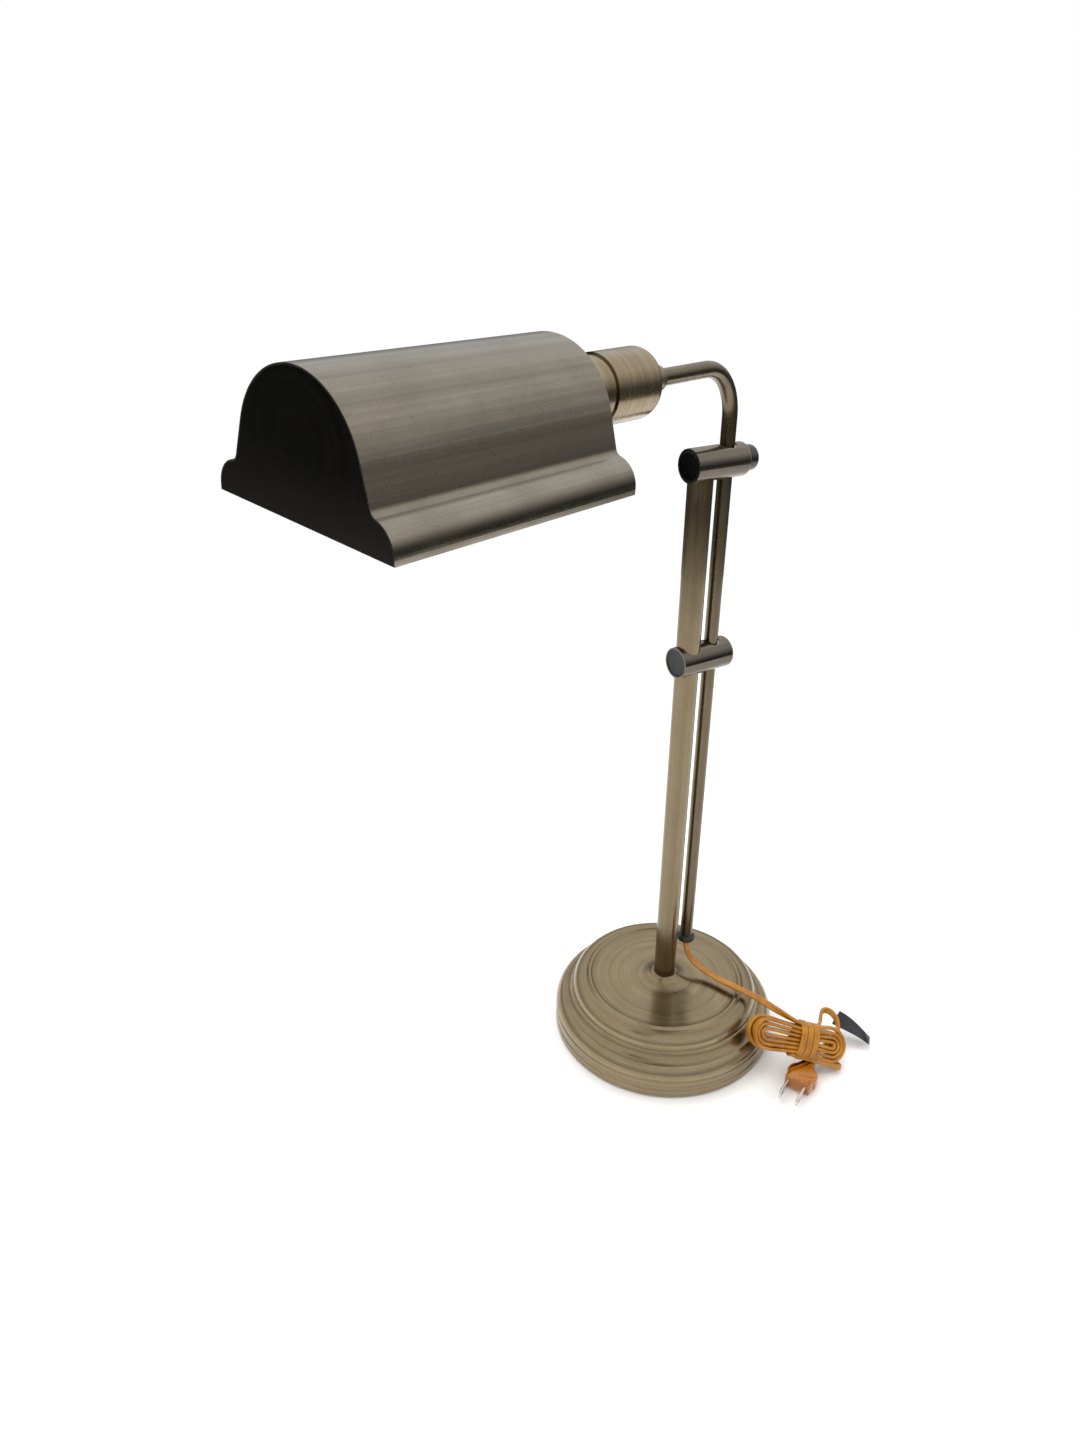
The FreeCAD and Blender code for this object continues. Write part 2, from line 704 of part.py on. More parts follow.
def cord_tube(name, route):
    wire = rounded_route(name, route)
    start = vec(*route[0])
    heading = vec(*route[1]) - start
    circle = Part.Wire(Part.makeCircle(CORD_WIDTH / 2, start, heading))
    tube = wire.makePipeShell([circle], True, True)
    expected = math.pi * (CORD_WIDTH / 2) ** 2 * wire.Length
    print(name, "volume", round(tube.Volume / expected, 3), "of section times length")
    return tube


def cord_hank():
    """Outer shape of the tied bundle, leaning on the base's shoulder."""
    left = vec(*HANK_LEFT)
    spine = vec(*HANK_RIGHT) - left
    length = spine.Length + 2 * HANK_OVERRUN
    slab = Part.makeBox(length, HANK_WIDTH, HANK_THICKNESS)
    slab.translate(vec(-HANK_OVERRUN, -HANK_WIDTH / 2, -HANK_THICKNESS / 2))
    corners = [edge for edge in slab.Edges if abs(edge.tangentAt(edge.FirstParameter).z) > 0.99]
    slab = slab.makeFillet(HANK_END_RADIUS, corners)
    for side in (HANK_THICKNESS / 2, -HANK_THICKNESS / 2):
        slab = slab.makeFillet(HANK_EDGE_RADIUS, edges_at(slab, "Z", side))
    level = math.degrees(math.atan2(-spine.z, math.hypot(spine.x, spine.y)))
    slab.rotate(ORIGIN, X, HANK_TILT)
    slab.rotate(ORIGIN, Y, level)
    slab.rotate(ORIGIN, Z, math.degrees(math.atan2(spine.y, spine.x)))
    slab.translate(left)
    return slab


def on_plug(shape):
    """Carry a piece from plug space, where +X is the way the blades point, to its place."""
    shape.rotate(ORIGIN, Z, PLUG_HEADING)
    shape.translate(vec(*PLUG_REAR))
    return shape


def plug_body():
    """Moulded plug, tapered towards the cord."""
    half = PLUG_WIDTH / 2
    outline = Part.makePolygon([
        vec(0, -CORD_WIDTH, 0),
        vec(PLUG_WAIST, -half, 0),
        vec(PLUG_LENGTH, -half, 0),
        vec(PLUG_LENGTH, half, 0),
        vec(PLUG_WAIST, half, 0),
        vec(0, CORD_WIDTH, 0),
        vec(0, -CORD_WIDTH, 0),
    ])
    body = Part.Face(outline).extrude(Z * PLUG_THICKNESS)
    body = body.makeFillet(PLUG_ROUNDING, body.Edges)
    body.translate(Z * -PLUG_THICKNESS / 2)
    return on_plug(body)


def plug_blades():
    blades = []
    for side in (-1, 1):
        blade = Part.makeBox(BLADE_LENGTH, BLADE_THICKNESS, BLADE_HEIGHT)
        middle = side * BLADE_SPACING / 2 - BLADE_THICKNESS / 2
        blade.translate(vec(PLUG_LENGTH, middle, -BLADE_HEIGHT / 2))
        blades.append(on_plug(blade))
    return Part.makeCompound(blades)


def cord_tag():
    """Blank label that hangs from the hank's small loop."""
    tag = Part.makeBox(TAG_LENGTH, TAG_WIDTH, TAG_THICKNESS)
    tag.translate(vec(0, -TAG_WIDTH / 2, 0))
    tag.rotate(ORIGIN, Y, TAG_DIP)
    tag.rotate(ORIGIN, Z, TAG_HEADING)
    tag.translate(vec(*TAG_CORNER))
    return tag


def build():
    os.makedirs("parts", exist_ok=True)
    near_plate = shade_start + SHADE_LENGTH - PLATE_THICKNESS
    save("base_cover", base_cover())
    save("base_weight", base_weight())
    save("felt_pad", felt_pad())
    save("base_washer", base_washer())
    save("base_bolt", base_bolt())
    save("column_tube", column_tube())
    save("column_plug", column_plug())
    save("upper_cross_tube", cross_tube(UPPER_CROSS_HEIGHT, False))
    save("lower_cross_tube", cross_tube(lower_cross_height, True))
    save("upper_end_cap", end_cap(UPPER_CROSS_HEIGHT))
    save("lower_end_cap", end_cap(lower_cross_height))
    save("upper_end_plug", clamp_bore(end_plug(UPPER_CROSS_HEIGHT), RUNNING))
    save("lower_end_plug", end_plug(lower_cross_height))
    save("upper_guide_block", clamp_bore(guide_block(UPPER_CROSS_HEIGHT), RUNNING))
    save("lower_guide_block", guide_block(lower_cross_height))
    save("clamp_pad", clamp_pad())
    save("clamp_knob", clamp_knob())
    save("slide_rod", slide_rod())
    save("inner_lead", inner_lead())
    save("rod_end_bush", rod_end_bush())
    save("arm_collar", arm_collar())
    save("swivel_washer", swivel_washer())
    save("arm_nut", arm_nut())
    save("socket_cup", socket_cup())
    save("neck_ring", neck_ring())
    save("socket_body", socket_body())
    save("screw_shell", screw_shell())
    save("centre_contact", centre_contact())
    save("bulb_cap", bulb_cap())
    save("bulb_glass", bulb_glass())
    save("switch_stem", switch_stem())
    save("switch_knob", switch_knob())
    save("shade_shell", shade_shell())
    save("far_end_plate", end_plate(shade_start, True))
    save("near_end_plate", end_plate(near_plate, False))
    save("shade_ring", shade_ring())
    save("mains_cord", cord_tube("mains_cord", CORD_ROUTE))
    save("cord_hank", cord_hank())
    save("plug_lead", cord_tube("plug_lead", LEAD_ROUTE))
    save("tag_loop", cord_tube("tag_loop", TAG_LOOP_ROUTE))
    save("plug_body", plug_body())
    save("plug_blades", plug_blades())
    save("cord_tag", cord_tag())


build()
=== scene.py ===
# %% [markdown]
# # A brass banker desk lamp
# The lamp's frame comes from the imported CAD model. This file gives every piece that shows its
# finished shape and surface: spun and drawn brass, a bent-sheet shade, a frosted bulb, rubber,
# and an amber twin flex that is tied in a hank. All lengths are metres, and +Z is up.

import json
import math
import random

import bmesh
import bpy
from mathutils import Matrix, Vector


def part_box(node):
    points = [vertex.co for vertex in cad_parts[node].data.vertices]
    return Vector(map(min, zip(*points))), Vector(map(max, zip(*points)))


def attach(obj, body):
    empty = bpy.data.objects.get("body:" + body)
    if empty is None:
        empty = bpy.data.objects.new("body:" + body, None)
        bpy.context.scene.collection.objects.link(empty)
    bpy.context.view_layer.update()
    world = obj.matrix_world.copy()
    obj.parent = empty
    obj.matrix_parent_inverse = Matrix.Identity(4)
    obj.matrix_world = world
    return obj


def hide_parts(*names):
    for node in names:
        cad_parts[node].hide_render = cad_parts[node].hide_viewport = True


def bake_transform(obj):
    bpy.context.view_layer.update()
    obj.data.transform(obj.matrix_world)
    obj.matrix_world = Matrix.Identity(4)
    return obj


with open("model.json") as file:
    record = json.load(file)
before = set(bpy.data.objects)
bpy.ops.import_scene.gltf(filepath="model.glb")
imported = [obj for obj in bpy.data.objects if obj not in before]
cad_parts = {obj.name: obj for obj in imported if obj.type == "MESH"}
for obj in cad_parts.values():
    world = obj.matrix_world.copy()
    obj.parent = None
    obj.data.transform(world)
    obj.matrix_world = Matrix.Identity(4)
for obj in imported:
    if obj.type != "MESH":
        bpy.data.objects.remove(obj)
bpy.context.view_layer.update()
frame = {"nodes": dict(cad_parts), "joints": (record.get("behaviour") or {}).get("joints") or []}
mm = 0.001

# %% [markdown]
# ## Camera, floor and light
# The camera stands in front of the lamp, to the left of it and above, with a wide lens. The floor
# is a plain white disc. Brass shows its surroundings more than its own colour, so the world is a
# soft grey studio: dark below the horizon, and growing to full brightness a third of the way up.
# To the camera itself, the world past the floor is plain white.

# %% Camera
CAMERA_PLACE = (-0.41371, -0.47225, 0.57925)
CAMERA_HEADING = math.radians(-32.31)
CAMERA_PITCH = math.radians(26.83)
CAMERA_ROLL = math.radians(0.18)
CAMERA_LENS = 25.5


def turn(angle, axis):
    return Matrix.Rotation(angle, 4, axis)


camera = bpy.data.objects.new("camera", bpy.data.cameras.new("camera"))
bpy.context.scene.collection.objects.link(camera)
camera.data.lens = CAMERA_LENS
camera.data.clip_start = 0.01
tilt = turn(math.pi / 2 - CAMERA_PITCH, "X") @ turn(CAMERA_ROLL, "Z")
camera.matrix_world = Matrix.Translation(CAMERA_PLACE) @ turn(CAMERA_HEADING, "Z") @ tilt
bpy.context.scene.camera = camera
bpy.context.scene.view_settings.view_transform = "Standard"

# %% Node helpers
def add(tree, kind, values=None, **settings):
    """Add a node, set its properties, and set or link its inputs by name or number."""
    made = tree.nodes.new("ShaderNode" + kind)
    for key, value in settings.items():
        setattr(made, key, value)
    for key, value in (values or {}).items():
        if isinstance(value, bpy.types.NodeSocket):
            tree.links.new(value, made.inputs[key])
        else:
            made.inputs[key].default_value = value
    return made


def ramp(tree, factor, stops):
    """A colour ramp from (position, colour) stops."""
    made = add(tree, "ValToRGB", {"Fac": factor})
    elements = made.color_ramp.elements
    elements[0].position, elements[0].color = stops[0][0], (*stops[0][1], 1)
    elements[1].position, elements[1].color = stops[-1][0], (*stops[-1][1], 1)
    for position, colour in stops[1:-1]:
        elements.new(position).color = (*colour, 1)
    return made.outputs["Color"]


def mix(tree, factor, a, b):
    made = add(tree, "Mix", {"Factor": factor}, data_type="RGBA")
    for socket, value in ((made.inputs[6], a), (made.inputs[7], b)):
        if isinstance(value, bpy.types.NodeSocket):
            tree.links.new(value, socket)
        else:
            socket.default_value = (*value, 1)
    return made.outputs[2]


# %% Studio
FLOOR_RADIUS = 1.1
ROOM_STRENGTH = 1.0


def studio_world():
    world = bpy.data.worlds.new("studio")
    world.use_nodes = True
    tree = world.node_tree
    tree.nodes.clear()
    way = add(tree, "TexCoord").outputs["Generated"]
    parts = add(tree, "SeparateXYZ", {0: way})
    height = add(tree, "MapRange", {0: parts.outputs["Z"], 1: -1.0, 2: 1.0}).outputs[0]
    room = ramp(tree, height, [
        (0.0, (0.05, 0.05, 0.05)),
        (0.5, (0.10, 0.10, 0.10)),
        (0.75, (1.0, 1.0, 1.0)),
        (1.0, (1.0, 1.0, 1.0)),
    ])
    seen = add(tree, "LightPath").outputs["Is Camera Ray"]
    colour = mix(tree, seen, room, (1.0, 1.0, 1.0))
    background = add(tree, "Background", {"Color": colour, "Strength": ROOM_STRENGTH})
    output = add(tree, "OutputWorld")
    tree.links.new(background.outputs[0], output.inputs[0])
    bpy.context.scene.world = world


def soft_light(name, place, aim, width, height, power, colour):
    lamp = bpy.data.lights.new(name, "AREA")
    lamp.shape = "RECTANGLE"
    lamp.size = width
    lamp.size_y = height
    lamp.energy = power
    lamp.color = colour
    holder = bpy.data.objects.new(name, lamp)
    bpy.context.scene.collection.objects.link(holder)
    heading = (Vector(aim) - Vector(place)).to_track_quat("-Z", "Y").to_matrix().to_4x4()
    holder.matrix_world = Matrix.Translation(place) @ heading
    holder.visible_glossy = False
    return holder


studio_world()
soft_light("overhead", (-0.3, 0.5, 2.2), (0, 0, 0), 2.4, 1.4, 28, (1.0, 0.99, 0.97))
soft_light("window", (-2.2, -1.0, 1.5), (0, 0, 0.25), 1.0, 1.6, 20, (1.0, 0.98, 0.95))
soft_light("side", (1.6, -1.3, 1.3), (0, 0, 0.25), 0.5, 1.5, 8, (1.0, 0.97, 0.93))

floor_mesh = bmesh.new()
bmesh.ops.create_circle(floor_mesh, cap_ends=True, segments=96, radius=FLOOR_RADIUS)
floor_data = bpy.data.meshes.new("floor")
floor_mesh.to_mesh(floor_data)
floor_mesh.free()
floor = bpy.data.objects.new("floor", floor_data)
bpy.context.scene.collection.objects.link(floor)
floor_paint = bpy.data.materials.new("white_floor")
floor_paint.use_nodes = True
floor_paint.node_tree.nodes["Principled BSDF"].inputs["Base Color"].default_value = (0.90, 0.895, 0.89, 1)
floor_paint.node_tree.nodes["Principled BSDF"].inputs["Roughness"].default_value = 0.9
floor_data.materials.append(floor_paint)
print("floor radius", FLOOR_RADIUS)

# %% [markdown]
# ## Surfaces
# The brass is aged by a chemical bath, brushed and lacquered. Turned pieces are brushed round
# their axis, and the shade, the column and the rods along their length. One group makes grain that
# runs round an axis and another makes grain that runs along one. Both put out fine scratches and
# broad bands, and a slow tone: on round grain this is a painted sheen that changes in sectors
# round the axis, on long grain an uneven tone. Each material mixes its colour, roughness and bump
# from them. A third group gives cloudy tarnish.

# %% Places on the lamp and the shared groups
joints = {one["name"]: one for one in frame["joints"]}
HEAD_ROLL = math.radians(-5)
arm_centre = Vector(joints["shade_turn"]["pos_m"])
arm_way = Vector(joints["shade_turn"]["axis"])
arm_heading = math.atan2(arm_way.y, arm_way.x)
arm_space = Matrix.Translation(arm_centre) @ turn(arm_heading, "Z")
head_space = arm_space @ turn(HEAD_ROLL, "X")
outwards = turn(math.pi / 2, "Y")


def new_group(name, inputs, outputs):
    tree = bpy.data.node_groups.new(name, "ShaderNodeTree")
    for label in inputs:
        kind = "NodeSocketVector" if label == "Place" else "NodeSocketFloat"
        tree.interface.new_socket(label, in_out="INPUT", socket_type=kind)
    for label in outputs:
        tree.interface.new_socket(label, in_out="OUTPUT", socket_type="NodeSocketFloat")
    return tree, tree.nodes.new("NodeGroupInput"), tree.nodes.new("NodeGroupOutput")


def sums(tree, operation, a, b=0.0):
    return add(tree, "Math", {0: a, 1: b}, operation=operation).outputs[0]


GRAIN_INPUTS = ("First", "Second", "Along", "Pitch")
GRAIN_OUTPUTS = ("Fine", "Broad", "SheenAndTone")


def grain_outputs(tree, end, place, turns):
    for label, scale, detail in (("Fine", 1.0, 3.0), ("Broad", 0.09, 2.0)):
        noise = add(tree, "TexNoise", {"Vector": place, "W": turns, "Scale": scale, "Detail": detail,
                                       "Roughness": 0.6}, noise_dimensions="4D")
        if label == "Broad":
            sharper = add(tree, "MapRange", {0: noise.outputs[0], 1: 0.36, 2: 0.64}).outputs[0]
            tree.links.new(sharper, end.inputs[label])
        else:
            tree.links.new(noise.outputs[0], end.inputs[label])


def round_grain():
    """Grain that runs round an axis: quick across it, slow with the angle, and a painted sheen that changes
    in sectors round the axis.
    """
    tree, start, end = new_group("round_grain", GRAIN_INPUTS, GRAIN_OUTPUTS)
    pair = add(tree, "CombineXYZ", {0: start.outputs["First"], 1: start.outputs["Second"]}).outputs[0]
    far = add(tree, "VectorMath", {0: pair}, operation="LENGTH").outputs["Value"]
    way = add(tree, "VectorMath", {0: pair}, operation="NORMALIZE").outputs[0]
    parts = add(tree, "SeparateXYZ", {0: way})
    rings = sums(tree, "MULTIPLY", far, start.outputs["Pitch"])
    climb = sums(tree, "MULTIPLY", start.outputs["Along"], start.outputs["Pitch"])
    place = add(tree, "CombineXYZ", {0: parts.outputs[0], 1: parts.outputs[1], 2: rings}).outputs[0]
    grain_outputs(tree, end, place, climb)
    # Painted sheen: a tone that changes with the angle round the axis, in light and dark sectors, as a
    # highlight on round-brushed metal does.
    sheen_and_tone_noise = add(tree, "TexNoise", {"Vector": way, "Scale": 1.9, "Detail": 2.0}).outputs[0]
    wide = add(tree, "MapRange", {0: sheen_and_tone_noise, 1: 0.35, 2: 0.65}).outputs[0]
    tree.links.new(wide, end.inputs["SheenAndTone"])
    return tree


def long_grain():
    """Grain that runs along one way: quick across, slow along."""
    tree, start, end = new_group("long_grain", GRAIN_INPUTS, GRAIN_OUTPUTS)
    first = sums(tree, "MULTIPLY", start.outputs["First"], start.outputs["Pitch"])
    second = sums(tree, "MULTIPLY", start.outputs["Second"], start.outputs["Pitch"])
    slow = sums(tree, "MULTIPLY", start.outputs["Along"], 9.0)
    place = add(tree, "CombineXYZ", {0: first, 1: second, 2: slow}).outputs[0]
    grain_outputs(tree, end, place, 0.0)
    # Slow uneven tone along the grain.
    sheen_and_tone_noise = add(tree, "TexNoise", {"Vector": place, "Scale": 0.02, "Detail": 1.0}).outputs[0]
    wide = add(tree, "MapRange", {0: sheen_and_tone_noise, 1: 0.35, 2: 0.65}).outputs[0]
    tree.links.new(wide, end.inputs["SheenAndTone"])
    return tree


def tarnish():
    """Cloudy tarnish, with small specks in it."""
    tree, start, end = new_group("tarnish", ("Place", "Size"), ("Cloud", "Speck"))
    cloud = add(tree, "TexNoise", {"Vector": start.outputs["Place"], "Scale": start.outputs["Size"],
                                   "Detail": 5.0, "Roughness": 0.55}).outputs[0]
    clear = add(tree, "MapRange", {0: cloud, 1: 0.38, 2: 0.68}).outputs[0]
    tree.links.new(clear, end.inputs["Cloud"])
    grit = add(tree, "TexNoise", {"Vector": start.outputs["Place"], "Scale": 900.0, "Detail": 1.0}).outputs[0]
    speck = add(tree, "MapRange", {0: grit, 1: 0.66, 2: 0.74}).outputs[0]
    tree.links.new(speck, end.inputs["Speck"])
    return tree


groups = {"round": round_grain(), "long": long_grain(), "tarnish": tarnish()}
print("groups", sorted(groups), "arm heading", round(math.degrees(arm_heading), 1))


# %% Materials
def place_in(tree, space):
    """Place on a piece: in its own frame, in the row frame, or in the head's frame with +X outwards."""
    if space == "own":
        return add(tree, "Attribute", attribute_name="local").outputs["Vector"]
    place = add(tree, "TexCoord").outputs["Object"]
    if space == "row":
        return place
    values = {"Vector": place, "Location": arm_centre, "Rotation": (HEAD_ROLL, 0, arm_heading)}
    return add(tree, "Mapping", values, vector_type="TEXTURE").outputs[0]


def new_paint(name):
    paint = bpy.data.materials.new(name)
    paint.use_nodes = True
    return paint, paint.node_tree, paint.node_tree.nodes["Principled BSDF"]


def feed(tree, shader, values):
    for key, value in values.items():
        if isinstance(value, bpy.types.NodeSocket):
            tree.links.new(value, shader.inputs[key])
        else:
            shader.inputs[key].default_value = value


def bumped(tree, height, strength, distance):
    return add(tree, "Bump", {"Height": height, "Strength": strength, "Distance": distance}).outputs[0]


def brass(name, space, axis, kind, tones, rough, pitch=2400.0, bump=0.10, sheen_and_tone_share=0.5, anisotropy=0.5,
          coat=0.35, floor_reflection_tone=None):
    """Brushed and aged metal. axis is the grain's own axis, 0 to 2, in its space.

    The last argument is a lighter colour that takes over towards the bottom, in the head's space: a painted
    reflection of the floor.
    """
    paint, tree, shader = new_paint(name)
    place = place_in(tree, space)
    parts = add(tree, "SeparateXYZ", {0: place})
    across = [index for index in range(3) if index != axis]
    grain = add(tree, "Group", node_tree=groups[kind])
    feed(tree, grain, {"First": parts.outputs[across[0]], "Second": parts.outputs[across[1]],
                       "Along": parts.outputs[axis], "Pitch": pitch})
    age = add(tree, "Group", node_tree=groups["tarnish"])
    feed(tree, age, {"Place": place, "Size": 42.0})
    dark, middle, light = tones
    base = mix(tree, grain.outputs["Broad"], dark, light)
    # Painted sheen in sectors on round grain, uneven tone on long grain, pulls the colour to the middle tone.
    base = mix(tree, sums(tree, "MULTIPLY", grain.outputs["SheenAndTone"], sheen_and_tone_share), base, middle)
    # Painted reflection of the floor: the last colour grows towards the bottom of the piece.
    if floor_reflection_tone:
        share = add(tree, "MapRange", {0: parts.outputs["Z"], 1: -4 * mm, 2: -30 * mm}).outputs[0]
        base = mix(tree, share, base, floor_reflection_tone)
    fine = add(tree, "MapRange", {0: grain.outputs["Fine"], 1: 0.3, 2: 0.7, 3: 0.0, 4: 0.35}).outputs[0]
    base = mix(tree, fine, base, dark)
    base = mix(tree, sums(tree, "MULTIPLY", age.outputs["Cloud"], 0.30), base, dark)
    base = mix(tree, sums(tree, "MULTIPLY", age.outputs["Speck"], 0.35), base, (0.05, 0.04, 0.03))
    low, high = rough
    dull = add(tree, "MapRange", {0: grain.outputs["Fine"], 1: 0.3, 2: 0.7, 3: low, 4: high}).outputs[0]
    dull = sums(tree, "ADD", dull, sums(tree, "MULTIPLY", age.outputs["Cloud"], 0.07))
    feed(tree, shader, {"Base Color": base, "Metallic": 1.0, "Roughness": dull, "Anisotropic": anisotropy,
                        "Coat Weight": coat, "Coat Roughness": 0.10, "Anisotropic Rotation": 0.25,
                        "Normal": bumped(tree, grain.outputs["Fine"], bump, 0.0002)})
    return paint


def moulded(name, tones, rough, metallic=0.0, size=160.0, bump=0.08, distance=0.0003, **more):
    """Cast, moulded, rubber or cloth stuff: mottled colour and a fine bump."""
    paint, tree, shader = new_paint(name)
    place = place_in(tree, "row")
    age = add(tree, "Group", node_tree=groups["tarnish"])
    feed(tree, age, {"Place": place, "Size": size})
    base = mix(tree, age.outputs["Cloud"], tones[0], tones[1])
    base = mix(tree, sums(tree, "MULTIPLY", age.outputs["Speck"], 0.25), base, tones[-1])
    dull = add(tree, "MapRange", {0: age.outputs["Cloud"], 3: rough[0], 4: rough[1]}).outputs[0]
    rise = sums(tree, "ADD", age.outputs["Cloud"], age.outputs["Speck"])
    feed(tree, shader, {"Base Color": base, "Metallic": metallic, "Roughness": dull,
                        "Normal": bumped(tree, rise, bump, distance)})
    for key, value in more.items():
        shader.inputs[key.replace("_", " ")].default_value = value
    return paint


COLUMN_TONES = ((0.163, 0.123, 0.068), (0.222, 0.172, 0.100), (0.281, 0.223, 0.137))
# Painted reflections: both end caps are one finish; the upper one is painted near-black for the dark room it
# reflects, the lower one lighter for the floor it reflects.
CAP_FLOOR_REFLECTION = ((0.019, 0.022, 0.024), (0.032, 0.036, 0.040), (0.046, 0.050, 0.054))
CAP_DARK_REFLECTION = ((0.0015, 0.0014, 0.0013), (0.0030, 0.0028, 0.0026), (0.0052, 0.0049, 0.0046))
AGED = ((0.22, 0.165, 0.092), (0.30, 0.232, 0.135), (0.38, 0.302, 0.185))
SHADE_TONES = ((0.15, 0.125, 0.092), (0.26, 0.230, 0.175), (0.33, 0.300, 0.240))
ROD_TONES = ((0.110, 0.086, 0.050), (0.150, 0.118, 0.070), (0.192, 0.153, 0.096))
CROSS_TONES = ((0.090, 0.074, 0.058), (0.155, 0.133, 0.105), (0.24, 0.208, 0.168))
# Painted dark reflection: the end plates are the shade's aged brass, made near-black for the dark room they
# reflect.
DARK_REFLECTION_TONES = ((0.008, 0.007, 0.006), (0.014, 0.012, 0.011), (0.022, 0.020, 0.018))
SLATE = ((0.048, 0.052, 0.058), (0.080, 0.086, 0.094), (0.115, 0.122, 0.13))
RAW = ((0.45, 0.33, 0.16), (0.58, 0.44, 0.22), (0.68, 0.53, 0.30))

paints = {
    "spun_brass": brass("spun_brass", "own", 2, "round", AGED, (0.20, 0.34), sheen_and_tone_share=0.8, anisotropy=0.65),
    "head_spun": brass("head_spun", "head", 0, "round", AGED, (0.16, 0.26), anisotropy=0.3),
    "upright_brass": brass("upright_brass", "row", 2, "long", COLUMN_TONES, (0.15, 0.25),
                           pitch=1500.0, anisotropy=0.0),
    "arm_brass": brass("arm_brass", "row", 2, "long", ROD_TONES, (0.20, 0.30), pitch=500.0, anisotropy=0.0),
    "cross_brass": brass("cross_brass", "row", 0, "long", CROSS_TONES, (0.12, 0.20),
                         pitch=1500.0, anisotropy=0.0),
    "shade_outside": brass("shade_outside", "head", 0, "long", SHADE_TONES, (0.17, 0.27),
                           pitch=1500.0, sheen_and_tone_share=0.25, anisotropy=0.0),
    # The end plates: painted dark reflection of the room, on the shade's brass.
    "plate_dark_reflection": brass("plate_dark_reflection", "head", 0, "round", DARK_REFLECTION_TONES, (0.30, 0.42),
                         bump=0.03, sheen_and_tone_share=0.2, anisotropy=0.0, coat=0.06,
                         # Painted reflection of the floor towards the bottom of each end plate.
                         floor_reflection_tone=(0.055, 0.053, 0.049)),
    # The two end caps: painted dark reflection and painted floor reflection of one finish.
    "cap_dark_reflection": brass("cap_dark_reflection", "own", 2, "round", CAP_DARK_REFLECTION, (0.30, 0.40),
                       bump=0.05, anisotropy=0.0, coat=0.05),
    "cap_floor_reflection": brass("cap_floor_reflection", "own", 2, "round", CAP_FLOOR_REFLECTION, (0.34, 0.46), anisotropy=0.0),
    "knob_slate": brass("knob_slate", "own", 2, "round", SLATE, (0.22, 0.32), anisotropy=0.0),
    "raw_brass": brass("raw_brass", "row", 2, "long", RAW, (0.22, 0.34), anisotropy=0.0),
    "zinc": moulded("zinc", ((0.50, 0.50, 0.49), (0.66, 0.66, 0.64)), (0.3, 0.45), metallic=1.0),
    "nickel": moulded("nickel", ((0.58, 0.56, 0.52), (0.72, 0.70, 0.66)), (0.16, 0.28), metallic=1.0),
    "cast_iron": moulded("cast_iron", ((0.04, 0.04, 0.045), (0.09, 0.085, 0.08)), (0.6, 0.8), bump=0.5),
    "felt": moulded("felt", ((0.012, 0.030, 0.018), (0.03, 0.06, 0.04)), (0.9, 1.0), size=600.0, bump=0.8),
    "nylon": moulded("nylon", ((0.62, 0.60, 0.55), (0.72, 0.70, 0.66)), (0.4, 0.5)),
    "rubber": moulded("rubber", ((0.010, 0.010, 0.011), (0.025, 0.025, 0.027)), (0.32, 0.5)),
    "phenolic": moulded("phenolic", ((0.016, 0.013, 0.011), (0.035, 0.028, 0.022)), (0.3, 0.42)),
    "black_plastic": moulded("black_plastic", ((0.006, 0.007, 0.010), (0.018, 0.020, 0.028)), (0.12, 0.24)),
    "glass": moulded("glass", ((0.86, 0.85, 0.82), (0.93, 0.92, 0.90)), (0.35, 0.45),
                     Transmission_Weight=0.25),
    "aluminium": moulded("aluminium", ((0.62, 0.62, 0.63), (0.75, 0.75, 0.76)), (0.25, 0.4), metallic=1.0),
    "amber_flex": moulded("amber_flex", ((0.40, 0.145, 0.004), (0.56, 0.24, 0.010)), (0.16, 0.26), size=90.0,
                          Transmission_Weight=0.22, Coat_Weight=0.25),
    "amber_plug": moulded("amber_plug", ((0.42, 0.13, 0.004), (0.56, 0.20, 0.010)), (0.18, 0.32), size=90.0,
                          Transmission_Weight=0.30, Coat_Weight=0.4),
}
print("materials", len(paints))

# %% Finished pieces
def piece(name, shape, body, paint, sharp=35, place=None):
    """Make a finished object of a bmesh, smooth but for its sharp edges, riding on a body.

    The attribute "local" keeps each point's place before the piece is put where it belongs.
    """
    mesh = bpy.data.meshes.new(name)
    shape.to_mesh(mesh)
    shape.free()
    local = mesh.attributes.new("local", "FLOAT_VECTOR", "POINT")
    local.data.foreach_set("vector", [value for vertex in mesh.vertices for value in vertex.co])
    if place:
        mesh.transform(place)
    mesh.polygons.foreach_set("use_smooth", [True] * len(mesh.polygons))
    mesh.set_sharp_from_angle(angle=math.radians(sharp))
    mesh.materials.append(paint)
    made = bpy.data.objects.new(name, mesh)
    bpy.context.scene.collection.objects.link(made)
    if body:
        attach(made, body)
    print(name, len(mesh.polygons), "faces")
    return made


# %% [markdown]
# ## The cord
# The cord is one twin flex: it leaves the bush at the rod's lower end, crosses the base, and is
# wound to and fro in two layers of nested turns. The last turn's end is drawn out in a small loop
# that holds a tag, three wraps tie the middle, and a last fold leads to the plug. A NURBS spline
# led by the route's points gives the line. A second spline runs along one edge of the flex, so that the
# flat section can be laid the right way round at every point.

